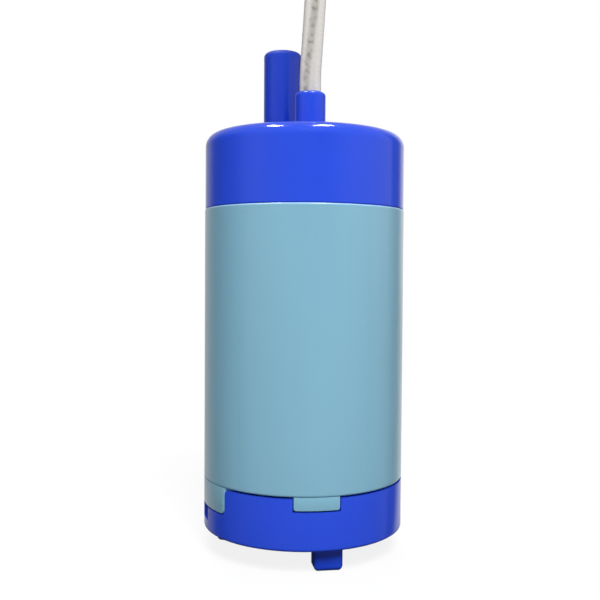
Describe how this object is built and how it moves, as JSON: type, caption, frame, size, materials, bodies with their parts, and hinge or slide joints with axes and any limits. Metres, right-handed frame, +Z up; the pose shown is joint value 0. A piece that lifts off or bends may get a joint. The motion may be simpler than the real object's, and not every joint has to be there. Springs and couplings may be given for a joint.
{
  "type": "submersible water pump",
  "caption": "Upright submersible caravan water pump: tube body, cap with hose spigot and cable boss, strainer base on feet, motor and impeller inside, flat lead coiled behind.",
  "frame": {"origin": "on the ground under the middle of the body, level with the feet", "axes": "+Z up along the body's axis, -Y toward the front, +X to the right"},
  "size_m": [0.076, 0.1585, 0.2026],
  "materials": {
    "blue_plastic": "glossy moulded",
    "pale_plastic": "smooth extruded",
    "white_plastic": "moulded",
    "brown_plastic": "moulded",
    "tie_plastic": "moulded",
    "cable_sheath": "clear soft sheath",
    "lead_sheath": "clear soft sheath",
    "seal_rubber": "moulded",
    "screw_steel": "plated",
    "shaft_steel": "ground",
    "can_steel": "zinc plated",
    "core_steel": "laminated",
    "ferrite": "sintered",
    "copper": "copper",
    "bronze": "sintered",
    "carbon": "carbon",
    "tin": "tinned"
  },
  "bodies": {
    "pump": {"top_cap": "blue_plastic", "cap_o_ring": "seal_rubber", "outer_tube": "pale_plastic", "pump_housing": "pale_plastic", "housing_o_ring": "seal_rubber", "inlet_plate": "blue_plastic", "inlet_plate_screws": "screw_steel", "shaft_seal": "seal_rubber", "motor_can": "can_steel", "field_magnets": "ferrite", "front_bearing": "bronze", "rear_bearing": "bronze", "end_bell": "white_plastic", "brushes": "carbon", "brush_springs": "screw_steel", "terminals": "bronze", "suppressor_capacitor": "brown_plastic", "motor_screws": "screw_steel", "motor_pot": "white_plastic", "pot_o_ring": "seal_rubber", "cable_grommet": "seal_rubber", "gland_seal": "seal_rubber", "inner_cable": "cable_sheath", "inner_leads": "lead_sheath", "supply_cable": "cable_sheath", "cable_coil": "cable_sheath", "cable_tie": "tie_plastic", "core_tails": "lead_sheath", "tinned_ends": "tin"},
    "rotor": {"impeller": "white_plastic", "shaft": "shaft_steel", "thrust_washers": "white_plastic", "spacer_collar": "white_plastic", "armature_core": "core_steel", "armature_windings": "copper", "commutator_hub": "brown_plastic", "commutator_segments": "copper"},
    "base": {"base": "blue_plastic"}
  },
  "joints": [
    {"name": "rotor_spin", "type": "hinge", "parent": "pump", "child": "rotor", "pos_m": [0, 0, 0.06], "axis": [0, 0, 1], "continuous": true},
    {"name": "base_pull", "type": "slide", "parent": "pump", "child": "base", "axis": [0, 0, -1], "range_m": [0, 0.025]}
  ]
}
